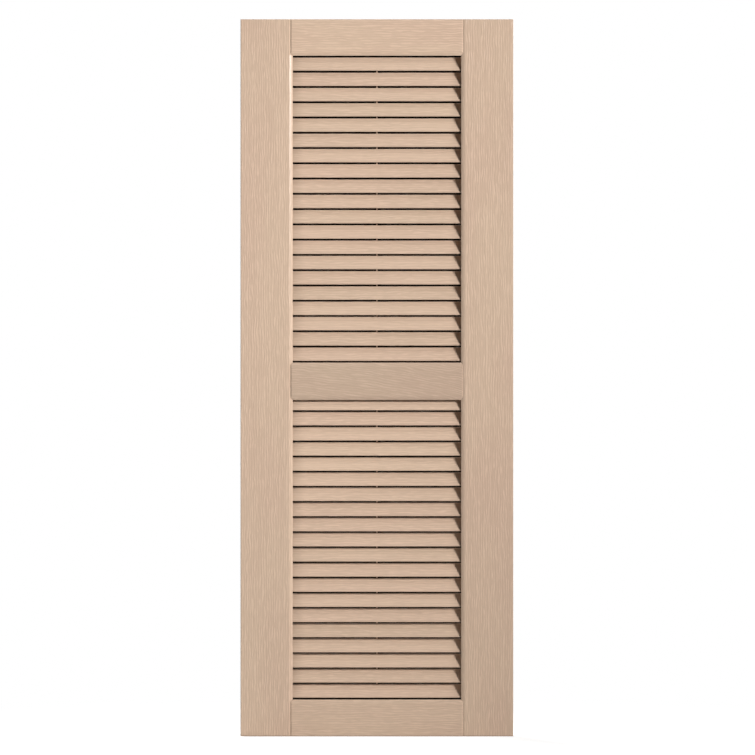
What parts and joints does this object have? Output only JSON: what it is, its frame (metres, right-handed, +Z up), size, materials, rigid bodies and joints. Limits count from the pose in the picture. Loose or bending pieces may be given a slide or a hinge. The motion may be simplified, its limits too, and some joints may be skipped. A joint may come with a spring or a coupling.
{
  "type": "louvred shutter",
  "caption": "Moulded louvred shutter panel for a house front: flat stiles and rails with rounded openings, fixed sloping louvres and a hollow back that lies against a wall.",
  "frame": {"origin": "middle of the panel's foot, halfway through its thickness", "axes": "+Z up along the stiles, -Y out of the front face, +Y towards the wall, +X to the viewer's right"},
  "size_m": [0.3766, 0.028, 0.99],
  "materials": {
    "tan_plastic": "matt, embossed with fine wood grain",
    "screw_steel": "zinc plated"
  },
  "bodies": {
    "root": {"left_stile": "tan_plastic", "right_stile": "tan_plastic", "top_rail": "tan_plastic", "mid_rail": "tan_plastic", "bottom_rail": "tan_plastic", "upper_insert_top": "tan_plastic", "upper_insert_bottom": "tan_plastic", "lower_insert_top": "tan_plastic", "lower_insert_bottom": "tan_plastic", "screws": "screw_steel"}
  },
  "joints": []
}
